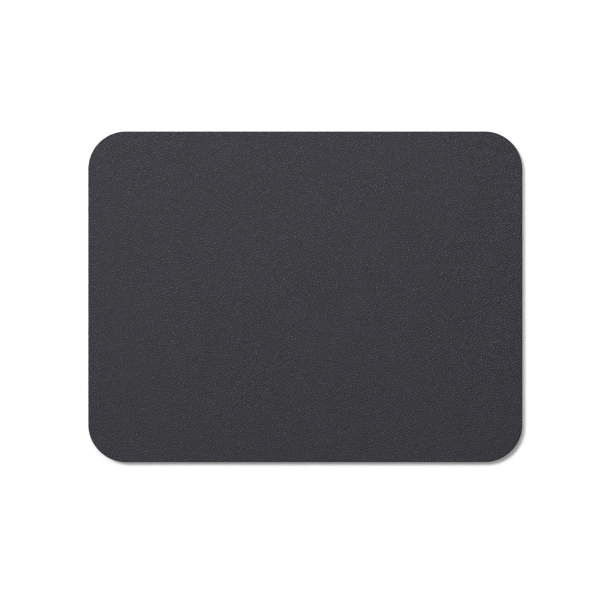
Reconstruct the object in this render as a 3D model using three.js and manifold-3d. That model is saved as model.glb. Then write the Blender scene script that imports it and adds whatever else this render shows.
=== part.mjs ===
// Leatherette mouse pad: five bonded layers, cut by one die to a rounded outline.
// Millimetres, +Z up. The origin is at the middle of the underside, and +X runs along the long side.
import * as THREE from "three";
import { mergeVertices } from "three/addons/utils/BufferGeometryUtils.js";
import Module from "manifold-3d";

// Outline that every layer is cut to
const padWidth = 266.7;
const padDepth = 203.2;
const cornerRadius = 23.2;
const cornerSteps = 16;

// Layers, from the desk up
const baseThickness = 2.0;
const filmThickness = 0.1;
const clothThickness = 0.45;
const foamThickness = 0.2;
const skinThickness = 0.25;

// Cut edge of the skin, rolled down by the die
const rollWidth = 0.8;
const rollDrop = 0.2;
const rollSegments = 4;
const rollMostOfSkin = 0.8;

// Zigzag tread, sunk into the underside of the base inside a plain border
const treadBorder = 12;
const groovePitch = 7;
const grooveWidth = 2.4;
const grooveDepth = 0.5;
const legRun = 10;
const legRise = 4;

// How far a cutter reaches past the face that it opens
const cutOvershoot = 1;

// An arc is drawn with two steps for each of a shape's curve segments
const stepsPerCurve = cornerSteps / 2;

const wasm = await Module();
wasm.setup();

// A three.js geometry as a solid that can be cut.
function solidOf(geometry) {
  const bare = geometry.clone();
  bare.deleteAttribute("normal");
  bare.deleteAttribute("uv");
  const merged = mergeVertices(bare);
  return new wasm.Manifold(
    new wasm.Mesh({
      numProp: 3,
      vertProperties: merged.attributes.position.array,
      triVerts: new Uint32Array(merged.index.array),
    }),
  );
}

// A cut solid as a three.js geometry.
function geometryOf(solid) {
  const { vertProperties, triVerts } = solid.getMesh();
  const geometry = new THREE.BufferGeometry();
  geometry.setAttribute("position", new THREE.BufferAttribute(vertProperties, 3));
  geometry.setIndex(new THREE.BufferAttribute(triVerts, 1));
  geometry.computeVertexNormals();
  return geometry;
}

// The pad's outline, drawn an inset inside the cut edge.
function padOutline(inset) {
  const x = padWidth / 2 - inset;
  const y = padDepth / 2 - inset;
  const r = cornerRadius - inset;
  const quarter = Math.PI / 2;
  const outline = new THREE.Shape();
  outline.moveTo(r - x, -y);
  outline.lineTo(x - r, -y);
  outline.absarc(x - r, r - y, r, -quarter, 0);
  outline.lineTo(x, y - r);
  outline.absarc(x - r, y - r, r, 0, quarter);
  outline.lineTo(r - x, y);
  outline.absarc(r - x, y - r, r, quarter, 2 * quarter);
  outline.lineTo(-x, r - y);
  outline.absarc(r - x, r - y, r, 2 * quarter, 3 * quarter);
  return outline;
}

// A flat layer with square cut edges.
function flatLayer(thickness) {
  return new THREE.ExtrudeGeometry(padOutline(0), {
    depth: thickness,
    bevelEnabled: false,
    curveSegments: stepsPerCurve,
  });
}

// The skin: a bevel rounds both faces, and the lower one is cut away to leave a flat underside.
function grainSkin() {
  const drop = Math.min(rollDrop, rollMostOfSkin * skinThickness);
  const rounded = new THREE.ExtrudeGeometry(padOutline(rollWidth), {
    depth: skinThickness - drop,
    bevelEnabled: true,
    bevelSize: rollWidth,
    bevelThickness: drop,
    bevelSegments: rollSegments,
    curveSegments: stepsPerCurve,
  });
  const below = new THREE.BoxGeometry(
    padWidth + cutOvershoot,
    padDepth + cutOvershoot,
    drop + cutOvershoot,
  );
  below.translate(0, 0, -(drop + cutOvershoot) / 2);
  return geometryOf(solidOf(rounded).subtract(solidOf(below)));
}

// Half the length that a tread row may have, at a distance from the pad's middle line.
function halfRow(distance) {
  const x = padWidth / 2 - treadBorder;
  const y = padDepth / 2 - treadBorder;
  const r = Math.max(cornerRadius - treadBorder, 0);
  const intoCorner = Math.max(distance - (y - r), 0);
  return x - r + Math.sqrt(Math.max(r * r - intoCorner * intoCorner, 0));
}

// One groove seen from above: a zigzag band with a peak on the pad's middle line.
function grooveShape(legs) {
  const upper = [];
  const lower = [];
  for (let i = 0; i <= legs; i++) {
    const x = (i - legs / 2) * legRun;
    const y = ((i - legs / 2) % 2 === 0 ? 0.5 : -0.5) * legRise;
    upper.unshift(new THREE.Vector2(x, y + grooveWidth / 2));
    lower.push(new THREE.Vector2(x, y - grooveWidth / 2));
  }
  return new THREE.Shape([...lower, ...upper]);
}

// The rows of grooves, as cutters that open the underside.
function treadCutters() {
  const rowReach = (legRise + grooveWidth) / 2;
  const treadDepth = padDepth - 2 * treadBorder;
  const rows = Math.floor((treadDepth - 2 * rowReach) / groovePitch) + 1;
  const cutters = [];
  for (let i = 0; i < rows; i++) {
    const y = (i - (rows - 1) / 2) * groovePitch;
    const legs = 2 * Math.floor(halfRow(Math.abs(y) + rowReach) / legRun);
    const cutter = new THREE.ExtrudeGeometry(grooveShape(legs), {
      depth: grooveDepth + cutOvershoot,
      bevelEnabled: false,
    });
    cutter.translate(0, y, -cutOvershoot);
    cutters.push(solidOf(cutter));
  }
  return cutters;
}

// The base, with its tread cut into the underside.
function rubberBase() {
  const slab = solidOf(flatLayer(baseThickness));
  return geometryOf(treadCutters().reduce((base, cutter) => base.subtract(cutter), slab));
}

const rubber = new THREE.MeshStandardMaterial({ color: 0x1c1c1e, roughness: 0.9, metalness: 0 });
const glue = new THREE.MeshStandardMaterial({ color: 0x2e2c2a, roughness: 0.4, metalness: 0 });
const cloth = new THREE.MeshStandardMaterial({ color: 0x38383c, roughness: 1, metalness: 0 });
const foam = new THREE.MeshStandardMaterial({ color: 0x333338, roughness: 0.8, metalness: 0 });
const leatherette = new THREE.MeshStandardMaterial({ color: 0x3e3d42, roughness: 0.6, metalness: 0 });

const layers = [
  { name: "rubber_base", shape: rubberBase(), thickness: baseThickness, material: rubber },
  { name: "bonding_film", shape: flatLayer(filmThickness), thickness: filmThickness, material: glue },
  { name: "backing_cloth", shape: flatLayer(clothThickness), thickness: clothThickness, material: cloth },
  { name: "foam_coat", shape: flatLayer(foamThickness), thickness: foamThickness, material: foam },
  { name: "grain_skin", shape: grainSkin(), thickness: skinThickness, material: leatherette },
];

// Each layer lies on the one before it.
const mousePad = new THREE.Group();
let height = 0;
for (const layer of layers) {
  const mesh = new THREE.Mesh(layer.shape, layer.material);
  mesh.name = layer.name;
  mesh.position.z = height;
  mousePad.add(mesh);
  height += layer.thickness;
}

export default mousePad;
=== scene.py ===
# Leatherette mouse pad: its layers, finishes and studio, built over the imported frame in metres
import math

import bpy
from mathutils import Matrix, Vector, noise


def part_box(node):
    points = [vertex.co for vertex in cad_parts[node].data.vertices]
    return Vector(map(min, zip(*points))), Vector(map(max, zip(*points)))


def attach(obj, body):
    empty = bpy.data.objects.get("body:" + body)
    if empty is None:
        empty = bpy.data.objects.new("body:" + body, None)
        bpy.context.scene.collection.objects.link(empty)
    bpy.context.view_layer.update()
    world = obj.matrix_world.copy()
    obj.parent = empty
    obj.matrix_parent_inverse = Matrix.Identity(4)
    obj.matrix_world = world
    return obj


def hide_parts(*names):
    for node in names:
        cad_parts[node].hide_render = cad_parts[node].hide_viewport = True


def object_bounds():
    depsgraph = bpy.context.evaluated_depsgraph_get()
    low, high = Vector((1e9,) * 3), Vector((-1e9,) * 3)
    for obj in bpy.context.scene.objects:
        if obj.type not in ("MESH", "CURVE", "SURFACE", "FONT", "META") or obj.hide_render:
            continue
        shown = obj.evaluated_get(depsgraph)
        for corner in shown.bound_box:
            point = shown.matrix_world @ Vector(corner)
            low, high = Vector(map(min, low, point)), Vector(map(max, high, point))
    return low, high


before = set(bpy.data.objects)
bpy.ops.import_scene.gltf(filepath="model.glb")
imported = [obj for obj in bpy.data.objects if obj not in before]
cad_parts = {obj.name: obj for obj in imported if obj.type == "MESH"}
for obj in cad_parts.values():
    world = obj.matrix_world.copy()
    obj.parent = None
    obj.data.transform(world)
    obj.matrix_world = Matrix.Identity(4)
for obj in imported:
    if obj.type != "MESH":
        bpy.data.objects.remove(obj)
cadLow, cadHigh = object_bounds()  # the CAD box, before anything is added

mm = 0.001
scene = bpy.context.scene
print("frame loaded:", sorted(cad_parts))


# Outline that one die cuts through all layers
outline = {
    "halfX": cadHigh.x,
    "halfY": cadHigh.y,
    "cornerRadius": 23.2 * mm,
}


def sideSizes(side):
    # sides run anticlockwise from the right one, each from the middle of a corner to the next
    reach = outline["halfX"] if side % 2 == 0 else outline["halfY"]
    across = outline["halfY"] if side % 2 == 0 else outline["halfX"]
    straight = across - outline["cornerRadius"]
    halfArc = outline["cornerRadius"] * math.pi / 4
    return reach, straight, halfArc


def edgePoint(side, share):
    # a point of the cut edge and its outward direction, at a share of a side's length
    radius = outline["cornerRadius"]
    reach, straight, halfArc = sideSizes(side)
    turn = side * math.pi / 2
    outward = Vector((math.cos(turn), math.sin(turn), 0))
    along = Vector((-math.sin(turn), math.cos(turn), 0))
    travel = share * 2 * (halfArc + straight) - halfArc
    if 0 <= travel <= 2 * straight:
        return outward * reach + along * (travel - straight), outward
    end = -straight if travel < 0 else straight
    past = travel if travel < 0 else travel - 2 * straight
    facing = outward * math.cos(past / radius) + along * math.sin(past / radius)
    return outward * (reach - radius) + along * end + facing * radius, facing


def sideSteps(side, spacing):
    reach, straight, halfArc = sideSizes(side)
    return round(2 * (halfArc + straight) / spacing)


def edgeStations(spacing):
    stations = []
    for side in range(4):
        steps = sideSteps(side, spacing)
        stations += [edgePoint(side, i / steps) for i in range(steps)]
    return stations


def edgeDistance(x, y):
    # how far a point of the pad lies inside the cut edge
    radius = outline["cornerRadius"]
    overX = abs(x) - (outline["halfX"] - radius)
    overY = abs(y) - (outline["halfY"] - radius)
    beyond = math.hypot(max(overX, 0), max(overY, 0))
    return radius - beyond - min(max(overX, overY), 0)


# Meshes and pieces
def makeMesh(name, points, faces):
    mesh = bpy.data.meshes.new(name)
    mesh.from_pydata(points, [], faces)
    mesh.validate()
    return mesh


def makePiece(name, mesh, material):
    piece = bpy.data.objects.new(name, mesh)
    scene.collection.objects.link(piece)
    mesh.materials.clear()
    mesh.materials.append(material)
    return piece


softAngle = 50  # degrees, past which an edge stays sharp


def smoothBelow(mesh, degrees):
    mesh.shade_smooth()
    mesh.set_sharp_from_angle(angle=math.radians(degrees))


def ringFaces(rings, count):
    # quads between rings that are stacked upwards, each ring anticlockwise
    faces = []
    for ring in range(rings - 1):
        low = ring * count
        for i in range(count):
            after = (i + 1) % count
            faces.append((low + i, low + after, low + count + after, low + count + i))
    return faces


def loftLayer(name, spacing, profile, wobble=None):
    # a closed mesh of the pad's outline; profile lists heights and insets from the bottom up
    stations = edgeStations(spacing)
    points = []
    for height, inset in profile:
        for place, outward in stations:
            point = place - outward * inset
            point.z = height
            if wobble:
                point += outward * wobble(point)
            points.append(point)
    count = len(stations)
    rings = len(profile)
    faces = ringFaces(rings, count)
    faces.append(tuple(reversed(range(count))))
    faces.append(tuple(range((rings - 1) * count, rings * count)))
    return makeMesh(name, points, faces)


def flatLayer(name, nodeName, look, material, wobble=None):
    # a thin layer at a CAD node's height, its cut edge drawn in more at its faces than between them
    low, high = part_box(nodeName)
    inset = look["edgeInset"]
    middle = (low.z + high.z) / 2
    profile = [(low.z, inset), (middle, look["middleShare"] * inset), (high.z, inset)]
    mesh = loftLayer(name, look["spacing"], profile, wobble)
    smoothBelow(mesh, softAngle)
    return makePiece(name, mesh, material)


# Node helpers, for shaders and geometry alike
def addNode(tree, kind, sockets=None, **settings):
    made = tree.nodes.new(kind)
    for name, value in settings.items():
        setattr(made, name, value)
    for key, value in (sockets or {}).items():
        if isinstance(value, bpy.types.NodeSocket):
            tree.links.new(value, made.inputs[key])
        else:
            made.inputs[key].default_value = value
    return made


def calc(tree, operation, *values):
    return addNode(tree, "ShaderNodeMath", dict(enumerate(values)), operation=operation).outputs[0]


def vectorCalc(tree, operation, *values, output="Vector"):
    made = addNode(tree, "ShaderNodeVectorMath", dict(enumerate(values)), operation=operation)
    return made.outputs[output]


def scaled(tree, vector, factor):
    # a vector, or a colour that gets lighter or darker
    made = addNode(tree, "ShaderNodeVectorMath", {0: vector, "Scale": factor}, operation="SCALE")
    return made.outputs["Vector"]


def alongAxis(tree, axis, length):
    return addNode(tree, "ShaderNodeCombineXYZ", {axis: length}).outputs["Vector"]


def ramp(tree, value, fromLow, fromHigh, toLow=0.0, toHigh=1.0, smooth=False):
    made = addNode(
        tree,
        "ShaderNodeMapRange",
        {
            "Value": value,
            "From Min": fromLow,
            "From Max": fromHigh,
            "To Min": toLow,
            "To Max": toHigh,
        },
        interpolation_type="SMOOTHSTEP" if smooth else "LINEAR",
    )
    return made.outputs["Result"]


def cloudy(tree, place, size, detail, output="Fac"):
    # soft noise with features of about a size
    sockets = {"Vector": place, "Scale": 1 / size, "Detail": detail}
    return addNode(tree, "ShaderNodeTexNoise", sockets).outputs[output]


def newGroup(name, kind, inputs, outputs):
    tree = bpy.data.node_groups.new(name, kind)
    for way, sockets in (("INPUT", inputs), ("OUTPUT", outputs)):
        for title, socketType in sockets.items():
            tree.interface.new_socket(name=title, in_out=way, socket_type="NodeSocket" + socketType)
    entry = addNode(tree, "NodeGroupInput").outputs
    leave = addNode(tree, "NodeGroupOutput").inputs
    return tree, entry, leave


cloudRange = (0.3, 0.7)  # levels between which soft noise mostly lies


# Shader groups that several finishes share
def toneDriftGroup():
    # slow change of tone, about 1 on average
    tree, entry, leave = newGroup(
        "toneDrift",
        "ShaderNodeTree",
        {"Vector": "Vector", "Patch Size": "Float", "Depth": "Float"},
        {"Tone": "Float"},
    )
    place = scaled(tree, entry["Vector"], calc(tree, "DIVIDE", 1.0, entry["Patch Size"]))
    cloud = cloudy(tree, place, 1.0, detail=3.0)
    swing = calc(tree, "MULTIPLY", ramp(tree, cloud, *cloudRange, -1.0, 1.0), entry["Depth"])
    tree.links.new(calc(tree, "ADD", 1.0, swing), leave["Tone"])
    return tree


def poreGroup():
    # small round pits at random places
    tree, entry, leave = newGroup(
        "pores",
        "ShaderNodeTree",
        {"Vector": "Vector", "Pore Spacing": "Float", "Share": "Float"},
        {"Pore": "Float"},
    )
    place = scaled(tree, entry["Vector"], calc(tree, "DIVIDE", 1.0, entry["Pore Spacing"]))
    cells = addNode(tree, "ShaderNodeTexVoronoi", {"Vector": place, "Scale": 1.0})
    pitRange = (0.2, 0.5)  # its floor ends and its rim lies at these shares of the spacing
    pit = ramp(tree, cells.outputs["Distance"], *pitRange, 1.0, 0.0, smooth=True)
    dice = addNode(tree, "ShaderNodeSeparateColor", {"Color": cells.outputs["Color"]}).outputs["Red"]
    kept = calc(tree, "LESS_THAN", dice, entry["Share"])
    tree.links.new(calc(tree, "MULTIPLY", pit, kept), leave["Pore"])
    return tree


def weaveGroup():
    # relief of a plain weave in the X and Y directions
    tree, entry, leave = newGroup(
        "plainWeave",
        "ShaderNodeTree",
        {"Vector": "Vector", "Yarn Pitch": "Float"},
        {"Relief": "Float"},
    )
    place = scaled(tree, entry["Vector"], calc(tree, "DIVIDE", 1.0, entry["Yarn Pitch"]))
    axes = addNode(tree, "ShaderNodeSeparateXYZ", {0: place}).outputs
    crowns = []
    for axis in ("X", "Y"):
        wave = calc(tree, "SINE", calc(tree, "MULTIPLY", axes[axis], math.pi))
        crowns.append(calc(tree, "ABSOLUTE", wave))
    cellSum = calc(tree, "ADD", calc(tree, "FLOOR", axes["X"]), calc(tree, "FLOOR", axes["Y"]))
    warpOver = calc(tree, "FLOORED_MODULO", cellSum, 2.0)
    over = addNode(
        tree,
        "ShaderNodeMix",
        {"Factor": warpOver, "A": crowns[0], "B": crowns[1]},
        data_type="FLOAT",
    ).outputs["Result"]
    tree.links.new(calc(tree, "MULTIPLY", over, calc(tree, "MAXIMUM", *crowns)), leave["Relief"])
    return tree


def placeGroup(tree, group, sockets):
    return addNode(tree, "ShaderNodeGroup", sockets, node_tree=group).outputs[0]


toneDrift = toneDriftGroup()
pores = poreGroup()
plainWeave = weaveGroup()
print("shader groups made:", len(bpy.data.node_groups))


# What every finish starts from
def newFinish(name, look):
    material = bpy.data.materials.new(name)
    material.use_nodes = True
    tree = material.node_tree
    shader = tree.nodes["Principled BSDF"]
    shader.inputs["Base Color"].default_value = (*look["colour"], 1)
    shader.inputs["Specular IOR Level"].default_value = look["specular"]
    place = addNode(tree, "ShaderNodeTexCoord").outputs["Object"]
    return material, tree, shader, place


def driftAt(tree, place, look):
    sockets = {"Vector": place, "Patch Size": look["driftSize"], "Depth": look["driftDepth"]}
    return placeGroup(tree, toneDrift, sockets)


def addRelief(tree, shader, height, depth):
    bump = addNode(tree, "ShaderNodeBump", {"Height": height, "Distance": depth})
    tree.links.new(bump.outputs["Normal"], shader.inputs["Normal"])


# Leather face: a quad patch inside a rolled rim, closed underneath
leather = {
    "colour": (0.0324, 0.0309, 0.0396),
    "roughness": (0.74, 0.59),  # in the creases and on the pebbles
    "specular": 0.35,
    "grainPitch": 1.5 * mm,
    "grainTurn": 32,  # degrees, so that no row of pebbles runs along a side
    "grainDepth": 0.28 * mm,
    "wander": 0.6 * mm,  # how far the creases stray from straight
    "wanderRate": 0.7,  # and how often in each pitch
    "pebbleEdge": 0.35,  # the share of the pitch in which a pebble rises from its crease
    "pebbleStep": 0.15,  # how much the pebbles differ in height
    "pebbleShade": 0.03,  # and in tone
    "wrinkleSize": 0.8,  # finer wrinkles across the pebbles, as a share of the pitch
    "wrinkleDepth": 0.25,
    "creaseEdge": 0.25,  # the share of the pitch over which a crease is painted darker
    "creasePaintedShade": 0.8,  # and how much: painted shade in the creases, the pebble tops as much lighter
    "patchSize": 4.5 * mm,  # patches in which the grain is fainter
    "patchRange": (0.35, 0.65),  # noise levels between which a patch fades
    "patchLeast": 0.85,
    "driftSize": 40 * mm,
    "driftDepth": 0.03,
    # the rim is painted darker and made rougher: partly a duller pressed edge, partly painted shade
    # over the rolled edge's highlight
    "rimWidth": 0.9 * mm,
    "rimPaintedShade": 0.5,
    "rimRoughness": 0.2,
    "spacing": 0.9 * mm,
    "rollWidth": 0.8 * mm,
    "rollDrop": 0.2 * mm,
    "rollSteps": 6,
    # slow swell of the laminate, then soft dimples: depth, length and fade at the rim
    "waves": [(0.03 * mm, 28 * mm, 6 * mm), (0.03 * mm, 2.6 * mm, 1.5 * mm)],
}


def leatherFinish():
    material, tree, shader, place = newFinish("embossed_leatherette", leather)
    pitch = leather["grainPitch"]
    turn = (0, 0, -math.radians(leather["grainTurn"]))
    turned = addNode(tree, "ShaderNodeMapping", {"Vector": place, "Rotation": turn}).outputs["Vector"]
    stray = cloudy(tree, turned, pitch / leather["wanderRate"], detail=0.0, output="Color")
    shift = scaled(tree, vectorCalc(tree, "SUBTRACT", stray, (0.5, 0.5, 0.5)), 2 * leather["wander"])
    bent = vectorCalc(tree, "ADD", turned, shift)

    def voronoi(size, feature):
        return addNode(
            tree,
            "ShaderNodeTexVoronoi",
            {"Vector": bent, "Scale": 1 / (size * pitch)},
            feature=feature,
            voronoi_dimensions="2D",
        ).outputs

    cells = voronoi(1.0, "DISTANCE_TO_EDGE")["Distance"]
    fineCells = voronoi(leather["wrinkleSize"], "DISTANCE_TO_EDGE")["Distance"]
    pebble = ramp(tree, cells, 0.0, leather["pebbleEdge"], smooth=True)
    wrinkle = ramp(tree, fineCells, 0.0, leather["pebbleEdge"], smooth=True)
    crest = ramp(tree, cells, 0.0, leather["creaseEdge"], smooth=True)
    dice = addNode(tree, "ShaderNodeSeparateColor", {"Color": voronoi(1.0, "F1")["Color"]}).outputs
    step = ramp(tree, dice["Red"], 0.0, 1.0, 1 - leather["pebbleStep"], 1.0)
    shade = leather["pebbleShade"]
    own = ramp(tree, dice["Green"], 0.0, 1.0, 1 - shade, 1 + shade)
    height = calc(tree, "MULTIPLY", pebble, step)
    height = calc(tree, "MULTIPLY_ADD", wrinkle, leather["wrinkleDepth"], height)
    cloud = cloudy(tree, place, leather["patchSize"], detail=1.0)
    patch = ramp(tree, cloud, *leather["patchRange"], leather["patchLeast"], 1.0)
    addRelief(tree, shader, calc(tree, "MULTIPLY", height, patch), leather["grainDepth"])
    # painted shade: creases darker and pebble tops lighter in colour, beside the bump's own shading
    halfCreaseShade = 0.5 * leather["creasePaintedShade"]
    swing = ramp(tree, crest, 0.0, 1.0, -halfCreaseShade, halfCreaseShade)
    drift = driftAt(tree, place, leather)
    # painted shade: the rim darkens in colour toward the cut edge, partly a duller pressed edge,
    # partly shade over the roll's highlight
    inset = addNode(tree, "ShaderNodeAttribute", attribute_name="edgeDistance").outputs["Fac"]
    rim = ramp(tree, inset, 0.0, leather["rimWidth"], 1.0, 0.0, smooth=True)
    tone = calc(tree, "MULTIPLY", calc(tree, "MULTIPLY_ADD", swing, patch, own), drift)
    tone = calc(tree, "MULTIPLY", tone, ramp(tree, rim, 0.0, 1.0, 1.0, 1 - leather["rimPaintedShade"]))
    tree.links.new(scaled(tree, leather["colour"], tone), shader.inputs["Base Color"])
    rough = ramp(tree, crest, 0.0, 1.0, *leather["roughness"])
    rough = calc(tree, "MULTIPLY_ADD", rim, leather["rimRoughness"], rough)
    tree.links.new(rough, shader.inputs["Roughness"])
    return material


def faceHeight(x, y, top):
    inset = max(edgeDistance(x, y) - leather["rollWidth"], 0)
    drop = 0
    for depth, length, fade in leather["waves"]:
        wave = 0.5 + 0.5 * noise.noise(Vector((x, y, 0)) / length)
        drop += depth * wave * min(inset / fade, 1)
    return top - drop


def leatherFace():
    low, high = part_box("grain_skin")
    rows = sideSteps(0, leather["spacing"])
    columns = sideSteps(1, leather["spacing"])

    def insetSide(side, steps):
        line = [edgePoint(side, i / steps) for i in range(steps + 1)]
        return [place - outward * leather["rollWidth"] for place, outward in line]

    # the patch is blended from its four sides
    right = insetSide(0, rows)
    back = insetSide(1, columns)[::-1]
    left = insetSide(2, rows)[::-1]
    front = insetSide(3, columns)
    points = []
    for j in range(rows + 1):
        v = j / rows
        for i in range(columns + 1):
            u = i / columns
            blend = front[i] * (1 - v) + back[i] * v + left[j] * (1 - u) + right[j] * u
            blend -= (front[0] * (1 - u) + front[-1] * u) * (1 - v)
            blend -= (back[0] * (1 - u) + back[-1] * u) * v
            blend.z = faceHeight(blend.x, blend.y, high.z)
            points.append(blend)
    faces = []
    stride = columns + 1
    for j in range(rows):
        for i in range(columns):
            first = j * stride + i
            faces.append((first, first + 1, first + stride + 1, first + stride))

    # the patch's rim, anticlockwise from the low right corner, then the rings of the roll
    rim = [j * stride + columns for j in range(rows)]
    rim += [rows * stride + columns - i for i in range(columns)]
    rim += [(rows - j) * stride for j in range(rows)]
    rim += list(range(columns))
    stations = edgeStations(leather["spacing"])
    inner = rim
    for step in range(1, leather["rollSteps"] + 2):
        angle = min(step / leather["rollSteps"], 1) * math.pi / 2
        bottom = step > leather["rollSteps"]
        ring = []
        for place, outward in stations:
            point = place - outward * leather["rollWidth"] * (1 - math.sin(angle))
            point.z = low.z if bottom else high.z - leather["rollDrop"] * (1 - math.cos(angle))
            ring.append(len(points))
            points.append(point)
        for i in range(len(ring)):
            after = (i + 1) % len(ring)
            faces.append((ring[i], ring[after], inner[after], inner[i]))
        inner = ring
    faces.append(tuple(reversed(inner)))

    mesh = makeMesh("leather_face", points, faces)
    depth = mesh.attributes.new("edgeDistance", "FLOAT", "POINT")
    for vertex in mesh.vertices:
        depth.data[vertex.index].value = max(edgeDistance(vertex.co.x, vertex.co.y), 0)
    smoothBelow(mesh, softAngle)
    return makePiece("leather_face", mesh, leatherFinish())


leatherPiece = leatherFace()
print("leather face:", len(leatherPiece.data.polygons), "faces")


# Foam coat and glue film: thin layers whose cut edges wander a little
foam = {
    "colour": (0.033, 0.033, 0.039),
    "roughness": (0.72, 0.95),  # between the cells and in them
    "specular": 0.35,
    "cellSpacing": 0.09 * mm,
    "cellShare": 0.8,
    "cellDepth": 0.03 * mm,
    # painted shade in the cells' pits
    "cellPaintedShade": 0.55,
    "driftSize": 4 * mm,
    "driftDepth": 0.1,
    "edgeInset": 0.05 * mm,
    "middleShare": 0.5,  # how much of the inset is left halfway up
    "edgeWobble": 0.025 * mm,
    "wobbleLength": 0.5 * mm,
    "spacing": 0.6 * mm,
}


def foamFinish():
    material, tree, shader, place = newFinish("foamed_coat", foam)
    sockets = {"Vector": place, "Pore Spacing": foam["cellSpacing"], "Share": foam["cellShare"]}
    pore = placeGroup(tree, pores, sockets)
    # painted shade: the cells' pits are darker in colour
    pitShade = ramp(tree, pore, 0.0, 1.0, 1.0, foam["cellPaintedShade"])
    tone = calc(tree, "MULTIPLY", driftAt(tree, place, foam), pitShade)
    tree.links.new(scaled(tree, foam["colour"], tone), shader.inputs["Base Color"])
    tree.links.new(ramp(tree, pore, 0.0, 1.0, *foam["roughness"]), shader.inputs["Roughness"])
    addRelief(tree, shader, calc(tree, "SUBTRACT", 1.0, pore), foam["cellDepth"])
    return material


def foamWobble(point):
    return foam["edgeWobble"] * noise.noise(point / foam["wobbleLength"])


glue = {
    "colour": (0.05, 0.046, 0.04),
    "roughness": (0.5, 0.28),  # where the tone is darkest and where it is lightest
    "specular": 0.5,
    "driftSize": 3 * mm,
    "driftDepth": 0.2,
    "flowSize": 0.4 * mm,
    "flowDepth": 0.04 * mm,
    "edgeInset": 0.12 * mm,
    "middleShare": 0.4,
    "edgeWobble": 0.07 * mm,
    "beadLength": 3 * mm,
    "spacing": 0.6 * mm,
}


def glueFinish():
    material, tree, shader, place = newFinish("glue_film", glue)
    drift = driftAt(tree, place, glue)
    tree.links.new(scaled(tree, glue["colour"], drift), shader.inputs["Base Color"])
    toneRange = (1 - glue["driftDepth"], 1 + glue["driftDepth"])
    tree.links.new(ramp(tree, drift, *toneRange, *glue["roughness"]), shader.inputs["Roughness"])
    addRelief(tree, shader, cloudy(tree, place, glue["flowSize"], detail=2.0), glue["flowDepth"])
    return material


def glueWobble(point):
    return glue["edgeWobble"] * noise.noise(Vector((point.x, point.y, 0)) / glue["beadLength"])


foamPiece = flatLayer("foam_layer", "foam_coat", foam, foamFinish(), foamWobble)
gluePiece = flatLayer("glue_line", "bonding_film", glue, glueFinish(), glueWobble)
print("foam and glue:", len(foamPiece.data.polygons) + len(gluePiece.data.polygons), "faces")


# Geometry node helpers
def setInputs(modifier, values):
    # a modifier's inputs are set by their identifiers
    for item in modifier.node_group.interface.items_tree:
        if item.item_type == "SOCKET" and item.in_out == "INPUT" and item.name in values:
            modifier[item.identifier] = values[item.name]


def growMesh(name, base, tree, values, material):
    # runs a tree on a base mesh and keeps the result as a plain mesh
    piece = makePiece(name, base, material)
    modifier = piece.modifiers.new("grow", "NODES")
    modifier.node_group = tree
    setInputs(modifier, {**values, "Finish": material})
    graph = bpy.context.evaluated_depsgraph_get()
    mesh = bpy.data.meshes.new_from_object(piece.evaluated_get(graph))
    piece.modifiers.remove(modifier)
    piece.data = mesh
    return piece


# Backing cloth: a body that stays inside the cut, and the cut ends of its yarns round it
cloth = {
    "colour": (0.075, 0.074, 0.08),
    "roughness": (0.8, 1.0),
    "specular": 0.2,
    "sheen": 0.15,
    "fibreSize": 0.05 * mm,
    "fibreTone": (0.75, 1.2),
    "fibreRelief": 0.4,  # beside the weave's own
    "weaveDepth": 0.05 * mm,
    "driftSize": 1.5 * mm,
    "driftDepth": 0.18,
    "yarnPitch": 0.42 * mm,
    "yarnRadius": 0.2 * mm,
    "yarnTip": 0.15 * mm,
    "yarnLength": 0.5 * mm,
    "yarnSides": 8,
    "yarnSteps": 2,
    "yarnGirth": (0.85, 1.1),
    "yarnRise": 0.05 * mm,  # every other yarn lies this much higher, the rest lower
    "yarnRagged": 0.08 * mm,
    "edgeInset": 0.3 * mm,
    "middleShare": 0.8,
    "spacing": 1.5 * mm,
    "seed": 4,
}


def clothFinish():
    material, tree, shader, place = newFinish("woven_backing", cloth)
    shader.inputs["Sheen Weight"].default_value = cloth["sheen"]
    relief = placeGroup(tree, plainWeave, {"Vector": place, "Yarn Pitch": cloth["yarnPitch"]})
    fibre = cloudy(tree, place, cloth["fibreSize"], detail=2.0)
    height = calc(tree, "MULTIPLY_ADD", fibre, cloth["fibreRelief"], relief)
    fibreTone = ramp(tree, fibre, *cloudRange, *cloth["fibreTone"])
    tone = calc(tree, "MULTIPLY", driftAt(tree, place, cloth), fibreTone)
    tree.links.new(scaled(tree, cloth["colour"], tone), shader.inputs["Base Color"])
    tree.links.new(ramp(tree, fibre, *cloudRange, *cloth["roughness"]), shader.inputs["Roughness"])
    addRelief(tree, shader, height, cloth["weaveDepth"])
    return material


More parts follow.
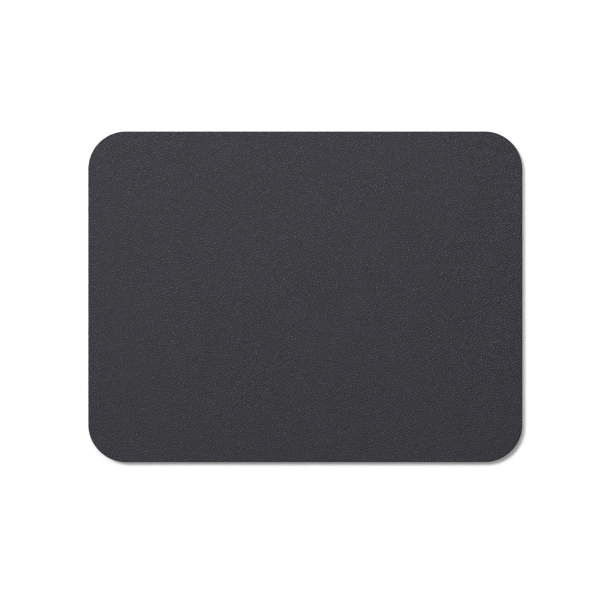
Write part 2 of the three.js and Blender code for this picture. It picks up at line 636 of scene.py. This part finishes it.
def yarnTree():
    tree, entry, leave = newGroup(
        "yarnEnds",
        "GeometryNodeTree",
        {
            "Edge": "Geometry",
            "Pitch": "Float",
            "Radius": "Float",
            "Tip Radius": "Float",
            "Length": "Float",
            "Rise": "Float",
            "Ragged": "Float",
            "Seed": "Int",
            "Finish": "Material",
        },
        {"Yarns": "Geometry"},
    )
    loop = addNode(tree, "GeometryNodeMeshToCurve", {"Mesh": entry["Edge"]}).outputs["Curve"]
    path = addNode(tree, "GeometryNodeResampleCurve", {"Curve": loop}, mode="LENGTH")
    tree.links.new(entry["Pitch"], path.inputs["Length"])
    tangent = addNode(tree, "GeometryNodeInputTangent").outputs["Tangent"]
    outward = vectorCalc(tree, "CROSS_PRODUCT", tangent, (0.0, 0.0, 1.0))
    turn = addNode(
        tree,
        "FunctionNodeAxesToRotation",
        {"Primary Axis": outward, "Secondary Axis": (0.0, 0.0, 1.0)},
        primary_axis="Z",
        secondary_axis="X",
    ).outputs["Rotation"]
    index = addNode(tree, "GeometryNodeInputIndex").outputs["Index"]
    side = calc(tree, "MULTIPLY_ADD", calc(tree, "FLOORED_MODULO", index, 2.0), 2.0, -1.0)
    lift = calc(tree, "MULTIPLY", side, entry["Rise"])
    draw = addNode(
        tree, "FunctionNodeRandomValue", {"Seed": entry["Seed"]}, data_type="FLOAT"
    ).outputs[1]
    back = calc(tree, "MULTIPLY", draw, entry["Ragged"])
    push = scaled(tree, outward, calc(tree, "MULTIPLY", back, -1.0))
    offset = vectorCalc(tree, "ADD", push, alongAxis(tree, "Z", lift))
    moved = addNode(
        tree,
        "GeometryNodeSetPosition",
        {"Geometry": path.outputs["Curve"], "Offset": offset},
    ).outputs["Geometry"]
    yarn = addNode(
        tree,
        "GeometryNodeMeshCone",
        {
            "Vertices": cloth["yarnSides"],
            "Side Segments": cloth["yarnSteps"],
            "Radius Top": entry["Tip Radius"],
            "Radius Bottom": entry["Radius"],
            "Depth": entry["Length"],
        },
    )
    under = alongAxis(tree, "Z", calc(tree, "MULTIPLY", entry["Length"], -1.0))
    seated = addNode(
        tree, "GeometryNodeTransform", {"Geometry": yarn.outputs["Mesh"], "Translation": under}
    ).outputs["Geometry"]
    thin, thick = cloth["yarnGirth"]
    girth = addNode(
        tree,
        "FunctionNodeRandomValue",
        {2: thin, 3: thick, "Seed": entry["Seed"]},
        data_type="FLOAT",
    ).outputs[1]
    copies = addNode(
        tree,
        "GeometryNodeInstanceOnPoints",
        {"Points": moved, "Instance": seated, "Rotation": turn, "Scale": girth},
    ).outputs["Instances"]
    real = addNode(tree, "GeometryNodeRealizeInstances", {"Geometry": copies}).outputs["Geometry"]
    done = addNode(tree, "GeometryNodeSetMaterial", {"Geometry": real, "Material": entry["Finish"]})
    tree.links.new(done.outputs["Geometry"], leave["Yarns"])
    return tree


def yarnEnds():
    low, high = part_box("backing_cloth")
    stations = edgeStations(cloth["spacing"])
    points = [place + Vector((0, 0, (low.z + high.z) / 2)) for place, outward in stations]
    loop = bpy.data.meshes.new("yarn_ends")
    loop.from_pydata(points, [(i, (i + 1) % len(points)) for i in range(len(points))], [])
    piece = growMesh(
        "yarn_ends",
        loop,
        yarnTree(),
        {
            "Pitch": cloth["yarnPitch"],
            "Radius": cloth["yarnRadius"],
            "Tip Radius": cloth["yarnTip"],
            "Length": cloth["yarnLength"],
            "Rise": cloth["yarnRise"],
            "Ragged": cloth["yarnRagged"],
            "Seed": cloth["seed"],
        },
        clothMaterial,
    )
    smoothBelow(piece.data, softAngle)
    return piece


clothMaterial = clothFinish()
clothPiece = flatLayer("cloth_body", "backing_cloth", cloth, clothMaterial)
yarnPiece = yarnEnds()
print("cloth:", len(clothPiece.data.polygons), "faces")
print("yarn ends:", len(yarnPiece.data.polygons), "faces")


# Rubber base: a die cut slab, its underside opened by rows of zigzag grooves
rubber = {
    "colour": (0.0125, 0.0125, 0.0138),
    "roughness": (0.7, 0.88),
    "specular": 0.4,
    "imprintPitch": 0.7 * mm,
    "imprintDepth": 0.05 * mm,
    "poreSpacing": 0.35 * mm,
    "poreShare": 0.45,
    # painted shade in the pores
    "porePaintedShade": 0.5,
    "speckSize": 0.12 * mm,
    "speckRelief": 0.35,  # beside the imprint's own
    "flatRange": (0.6, 0.9),  # how far a face may turn from level before it counts as cut
    "driftSize": 20 * mm,
    "driftDepth": 0.12,
    "footRadius": 0.3 * mm,
    "footSteps": 4,
    "waist": 0.05 * mm,
    "spacing": 1.5 * mm,
    "softAngle": 35,
    "treadBorder": 12 * mm,
    "rowPitch": 7 * mm,
    "grooveWidth": 2.4 * mm,
    "grooveDepth": 0.5 * mm,
    "grooveDraft": 0.2 * mm,  # how much narrower each side is at the groove's floor
    "lip": 0.12 * mm,
    "legRun": 10 * mm,
    "legRise": 4 * mm,
}


def rubberFinish():
    material, tree, shader, place = newFinish("base_rubber", rubber)
    relief = placeGroup(tree, plainWeave, {"Vector": place, "Yarn Pitch": rubber["imprintPitch"]})
    facing = addNode(tree, "ShaderNodeNewGeometry").outputs["Normal"]
    tilt = calc(tree, "ABSOLUTE", addNode(tree, "ShaderNodeSeparateXYZ", {0: facing}).outputs["Z"])
    flat = ramp(tree, tilt, *rubber["flatRange"])  # flat faces get the imprint, cut ones the pores
    sockets = {"Vector": place, "Pore Spacing": rubber["poreSpacing"], "Share": rubber["poreShare"]}
    pore = placeGroup(tree, pores, sockets)
    cutPore = calc(tree, "MULTIPLY", pore, calc(tree, "SUBTRACT", 1.0, flat))
    imprint = calc(tree, "MULTIPLY", relief, flat)
    speck = cloudy(tree, place, rubber["speckSize"], detail=3.0)
    height = calc(tree, "SUBTRACT", imprint, cutPore)
    height = calc(tree, "MULTIPLY_ADD", speck, rubber["speckRelief"], height)
    addRelief(tree, shader, height, rubber["imprintDepth"])
    # painted shade: pores on the cut faces are darker in colour
    pitShade = ramp(tree, cutPore, 0.0, 1.0, 1.0, rubber["porePaintedShade"])
    tone = calc(tree, "MULTIPLY", driftAt(tree, place, rubber), pitShade)
    tree.links.new(scaled(tree, rubber["colour"], tone), shader.inputs["Base Color"])
    tree.links.new(ramp(tree, speck, *cloudRange, *rubber["roughness"]), shader.inputs["Roughness"])
    return material


def treadTree():
    tree, entry, leave = newGroup(
        "zigzagTread",
        "GeometryNodeTree",
        {
            "Slab": "Geometry",
            "Rows": "Int",
            "Row Pitch": "Float",
            "Legs": "Int",
            "Leg Run": "Float",
            "Leg Rise": "Float",
            "Groove Width": "Float",
            "Groove Depth": "Float",
            "Draft": "Float",
            "Lip": "Float",
            "Corner": "Vector",
            "Corner Radius": "Float",
            "Finish": "Material",
        },
        {"Base": "Geometry"},
    )
    reach = calc(tree, "MULTIPLY", calc(tree, "MULTIPLY", entry["Legs"], entry["Leg Run"]), 0.5)
    start = alongAxis(tree, "X", calc(tree, "MULTIPLY", reach, -1.0))
    end = alongAxis(tree, "X", reach)
    ends = {"Start": start, "End": end}
    line = addNode(tree, "GeometryNodeCurvePrimitiveLine", ends).outputs["Curve"]
    count = calc(tree, "ADD", entry["Legs"], 1.0)
    row = addNode(
        tree, "GeometryNodeResampleCurve", {"Curve": line, "Count": count}, mode="COUNT"
    ).outputs["Curve"]
    pitch = alongAxis(tree, "Y", entry["Row Pitch"])
    lastRow = calc(tree, "SUBTRACT", entry["Rows"], 1.0)
    firstPlace = scaled(tree, pitch, calc(tree, "MULTIPLY", lastRow, -0.5))
    places = addNode(
        tree,
        "GeometryNodeMeshLine",
        {"Count": entry["Rows"], "Start Location": firstPlace, "Offset": pitch},
        mode="OFFSET",
    ).outputs["Mesh"]
    copies = addNode(
        tree, "GeometryNodeInstanceOnPoints", {"Points": places, "Instance": row}
    ).outputs["Instances"]
    rows = addNode(tree, "GeometryNodeRealizeInstances", {"Geometry": copies}).outputs["Geometry"]

    # points outside the tread's rounded field are dropped, with room for a row's own reach
    place = addNode(tree, "GeometryNodeInputPosition").outputs["Position"]
    rowHeight = calc(tree, "ADD", entry["Leg Rise"], entry["Groove Width"])
    rowReach = alongAxis(tree, "Y", calc(tree, "MULTIPLY", rowHeight, 0.5))
    spread = vectorCalc(tree, "ADD", vectorCalc(tree, "ABSOLUTE", place), rowReach)
    over = vectorCalc(tree, "SUBTRACT", spread, entry["Corner"])
    over = vectorCalc(tree, "MAXIMUM", over, (0.0, 0.0, 0.0))
    beyond = vectorCalc(tree, "LENGTH", over, output="Value")
    outside = addNode(
        tree,
        "FunctionNodeCompare",
        {"A": beyond, "B": entry["Corner Radius"]},
        data_type="FLOAT",
        operation="GREATER_THAN",
    ).outputs["Result"]

    # every other point goes up, the rest down
    spot = addNode(tree, "GeometryNodeSplineParameter").outputs["Index"]
    parity = calc(tree, "MULTIPLY_ADD", calc(tree, "FLOORED_MODULO", spot, 2.0), -1.0, 0.5)
    rise = alongAxis(tree, "Y", calc(tree, "MULTIPLY", parity, entry["Leg Rise"]))
    marked = addNode(
        tree,
        "GeometryNodeStoreNamedAttribute",
        {"Geometry": rows, "Name": "dropped", "Value": outside},
        data_type="BOOLEAN",
        domain="POINT",
    ).outputs["Geometry"]
    zigzag = addNode(tree, "GeometryNodeSetPosition", {"Geometry": marked, "Offset": rise})
    zigzag = zigzag.outputs["Geometry"]
    dropped = addNode(
        tree, "GeometryNodeInputNamedAttribute", {"Name": "dropped"}, data_type="BOOLEAN"
    ).outputs["Attribute"]
    kept = addNode(
        tree, "GeometryNodeDeleteGeometry", {"Geometry": zigzag, "Selection": dropped}, domain="POINT"
    ).outputs["Geometry"]
    upright = addNode(tree, "GeometryNodeSetCurveNormal", {"Curve": kept}, mode="Z_UP")
    upright = upright.outputs["Curve"]

    # one cutter is the groove with its draft, the other eases its lips
    # half of each lies below the slab
    cut = addNode(
        tree,
        "GeometryNodeMeshBoolean",
        {"Mesh 1": entry["Slab"]},
        operation="DIFFERENCE",
        solver="EXACT",
    )
    lipMouth = calc(tree, "MULTIPLY_ADD", entry["Lip"], 2.0, entry["Groove Width"])
    floorWidth = calc(tree, "MULTIPLY_ADD", entry["Draft"], -2.0, entry["Groove Width"])
    for depth, mouth, floor in (
        (entry["Groove Depth"], entry["Groove Width"], floorWidth),
        (entry["Lip"], lipMouth, entry["Groove Width"]),
    ):
        below = calc(tree, "SUBTRACT", calc(tree, "MULTIPLY", mouth, 2.0), floor)
        section = addNode(
            tree,
            "GeometryNodeCurvePrimitiveQuadrilateral",
            {"Bottom Width": below, "Top Width": floor, "Offset": 0.0},
            mode="TRAPEZOID",
        )
        tree.links.new(calc(tree, "MULTIPLY", depth, 2.0), section.inputs["Height"])
        cutter = addNode(
            tree,
            "GeometryNodeCurveToMesh",
            {"Curve": upright, "Profile Curve": section.outputs["Curve"], "Fill Caps": True},
        ).outputs["Mesh"]
        tree.links.new(cutter, cut.inputs["Mesh 2"])
    real = addNode(
        tree, "GeometryNodeRealizeInstances", {"Geometry": cut.outputs["Mesh"]}
    ).outputs["Geometry"]
    done = addNode(tree, "GeometryNodeSetMaterial", {"Geometry": real, "Material": entry["Finish"]})
    tree.links.new(done.outputs["Geometry"], leave["Base"])
    return tree


def rubberBase():
    low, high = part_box("rubber_base")
    radius = rubber["footRadius"]
    profile = []
    for step in range(rubber["footSteps"] + 1):
        angle = step / rubber["footSteps"] * math.pi / 2
        profile.append((low.z + radius * (1 - math.cos(angle)), radius * (1 - math.sin(angle))))
    profile += [((low.z + high.z) / 2, rubber["waist"]), (high.z, 0)]
    slab = loftLayer("rubber_slab", rubber["spacing"], profile)
    fieldY = 2 * (outline["halfY"] - rubber["treadBorder"])
    rowReach = (rubber["legRise"] + rubber["grooveWidth"]) / 2
    cornerRadius = max(outline["cornerRadius"] - rubber["treadBorder"], 0)
    inset = rubber["treadBorder"] + cornerRadius
    piece = growMesh(
        "rubber_underlay",
        slab,
        treadTree(),
        {
            "Rows": math.floor((fieldY - 2 * rowReach) / rubber["rowPitch"]) + 1,
            "Row Pitch": rubber["rowPitch"],
            "Legs": 2 * math.floor((outline["halfX"] - rubber["treadBorder"]) / rubber["legRun"]),
            "Leg Run": rubber["legRun"],
            "Leg Rise": rubber["legRise"],
            "Groove Width": rubber["grooveWidth"],
            "Groove Depth": rubber["grooveDepth"],
            "Draft": rubber["grooveDraft"],
            "Lip": rubber["lip"],
            "Corner": (outline["halfX"] - inset, outline["halfY"] - inset, 1),
            "Corner Radius": cornerRadius,
        },
        rubberFinish(),
    )
    smoothBelow(piece.data, rubber["softAngle"])
    return piece


rubberPiece = rubberBase()
print("rubber base:", len(rubberPiece.data.polygons), "faces")


# Pieces on the frame
dressing = [
    (leatherPiece, "grain_skin", "leatherette_skin"),
    (foamPiece, "foam_coat", "foam_coat"),
    (clothPiece, "backing_cloth", "backing_cloth"),
    (yarnPiece, "backing_cloth", "backing_cloth"),
    (gluePiece, "bonding_film", "bonding_film"),
    (rubberPiece, "rubber_base", "base_rubber"),
]
for piece, nodeName, slotName in dressing:
    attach(piece, "root")
    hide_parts(nodeName)

cutSize = (2 * outline["halfX"], 2 * outline["halfY"])
print("pieces placed:", len(dressing))


# Studio: white floor, soft key from the upper left, small lamp behind, dim surroundings
studio = {
    "floorHalf": 6.0,
    "floorSpacing": 4 * mm,
    "floorRings": (1.5, 4.0),  # rings between the hole and the rim, in hole sizes
    "floorDrop": 0.02 * mm,
    "floorHoleInset": 0.5 * mm,
    "floorColour": 0.9,
    "floorGlow": 0.272,  # light that only the camera and reflections see, near the pad
    "farGlow": 1.0,  # and farther off
    "glowNear": 0.17,
    "glowFar": 0.7,
    "ambient": 0.051,
    "ambientBelow": 0.4,
    "backdropHeight": (0.15, 0.3),  # where the white backdrop fades in reflections, as a sine
    "keyPlace": (-3.4, 2.7, 4.0),
    "keySize": 2.4,
    "keyPower": 364,
    "topPlace": (0.0, 0.45, 0.5),
    "topSize": 0.3,
    "topPower": 1.76,
    "underPlace": (-0.5, 0.5, -1.3),
    "underSize": 0.6,
    "underPower": 16,
}


def seenRays(tree):
    # marks what the camera sees directly, and what it sees by reflection or through glass
    path = addNode(tree, "ShaderNodeLightPath").outputs
    mirrored = calc(tree, "MAXIMUM", path["Is Glossy Ray"], path["Is Transmission Ray"])
    return path["Is Camera Ray"], mirrored


def floorFinish():
    material = bpy.data.materials.new("studio_floor")
    material.use_nodes = True
    tree = material.node_tree
    tree.nodes.clear()
    seen = calc(tree, "MAXIMUM", *seenRays(tree))
    level = studio["floorColour"]
    matt = addNode(tree, "ShaderNodeBsdfDiffuse", {"Color": (level, level, level, 1)}).outputs[0]
    place = addNode(tree, "ShaderNodeTexCoord").outputs["Object"]
    away = vectorCalc(tree, "LENGTH", place, output="Value")
    glowRange = (studio["glowNear"], studio["glowFar"], studio["floorGlow"], studio["farGlow"])
    strength = ramp(tree, away, *glowRange, smooth=True)
    glow = addNode(
        tree, "ShaderNodeEmission", {"Strength": calc(tree, "MULTIPLY", seen, strength)}
    ).outputs[0]
    both = addNode(tree, "ShaderNodeAddShader", {0: matt, 1: glow}).outputs[0]
    clear = addNode(tree, "ShaderNodeBsdfTransparent").outputs[0]
    back = addNode(tree, "ShaderNodeNewGeometry").outputs["Backfacing"]
    shown = addNode(tree, "ShaderNodeMixShader", {0: back, 1: both, 2: clear}).outputs[0]
    addNode(tree, "ShaderNodeOutputMaterial", {"Surface": shown})
    return material


def studioFloor():
    # a wide floor, open under the pad's middle so that the underside can be seen from below
    half = studio["floorHalf"]
    stations = edgeStations(studio["floorSpacing"])
    hole = [place - outward * studio["floorHoleInset"] for place, outward in stations]
    count = len(hole)
    rings = [hole]
    for growth in studio["floorRings"]:
        rings.append([place * growth for place in hole])
    rings.append([Vector((place.x, place.y, 0)).normalized() * half for place in hole])
    points = []
    for ring in rings:
        points += [Vector((place.x, place.y, -studio["floorDrop"])) for place in ring]
    faces = []
    for low in range(0, (len(rings) - 1) * count, count):
        for i in range(count):
            after = (i + 1) % count
            faces.append((low + i, low + count + i, low + count + after, low + after))
    floor = makePiece("studio_floor", makeMesh("studio_floor", points, faces), floorFinish())


def studioWorld():
    world = bpy.data.worlds.new("studio")
    scene.world = world
    world.use_nodes = True
    tree = world.node_tree
    tree.nodes.clear()
    direct, mirrored = seenRays(tree)
    way = addNode(tree, "ShaderNodeTexCoord").outputs["Generated"]
    rise = addNode(tree, "ShaderNodeSeparateXYZ", {0: way}).outputs["Z"]
    # dim above, brighter below the floor, white where the backdrop stands
    above = calc(tree, "GREATER_THAN", rise, 0.0)
    dim = ramp(tree, above, 0.0, 1.0, studio["ambientBelow"], studio["ambient"])
    backdrop = ramp(tree, rise, *studio["backdropHeight"], 1.0, 0.0)
    white = calc(tree, "MAXIMUM", direct, calc(tree, "MULTIPLY", mirrored, backdrop))
    strength = calc(tree, "MAXIMUM", dim, white)
    sky = addNode(tree, "ShaderNodeBackground", {"Color": (1, 1, 1, 1), "Strength": strength})
    addNode(tree, "ShaderNodeOutputWorld", {"Surface": sky.outputs[0]})


def addLamp(name, place, size, power):
    lamp = bpy.data.lights.new(name, "AREA")
    lamp.shape = "SQUARE"
    lamp.size = size
    lamp.energy = power
    holder = bpy.data.objects.new(name, lamp)
    scene.collection.objects.link(holder)
    holder.location = place
    holder.rotation_euler = (-Vector(place)).to_track_quat("-Z", "Y").to_euler()


studioFloor()
studioWorld()
for name in ("key", "top", "under"):
    addLamp(name, studio[name + "Place"], studio[name + "Size"], studio[name + "Power"])
print("studio lit")


# Camera straight above, placed so that the pad lies where it does in the photo's frame
shot = {
    "frame": 605,  # pixels
    "padWidth": 434.3,
    "padMiddle": (305.3, 296.75),
    "lens": 100,
    "sensor": 36,
    "clip": (0.01, 50),
}


def addCamera():
    data = bpy.data.cameras.new("overhead")
    data.lens = shot["lens"]
    data.sensor_width = shot["sensor"]
    data.clip_start, data.clip_end = shot["clip"]
    camera = bpy.data.objects.new("overhead", data)
    scene.collection.objects.link(camera)
    pixel = cutSize[0] / shot["padWidth"]
    distance = shot["frame"] * pixel * shot["lens"] / shot["sensor"]
    middle = shot["frame"] / 2
    right = (middle - shot["padMiddle"][0]) * pixel
    away = (shot["padMiddle"][1] - middle) * pixel
    camera.location = (right, away, cadHigh.z + distance)
    scene.camera = camera


addCamera()
scene.view_settings.view_transform = "Standard"

bpy.context.view_layer.update()
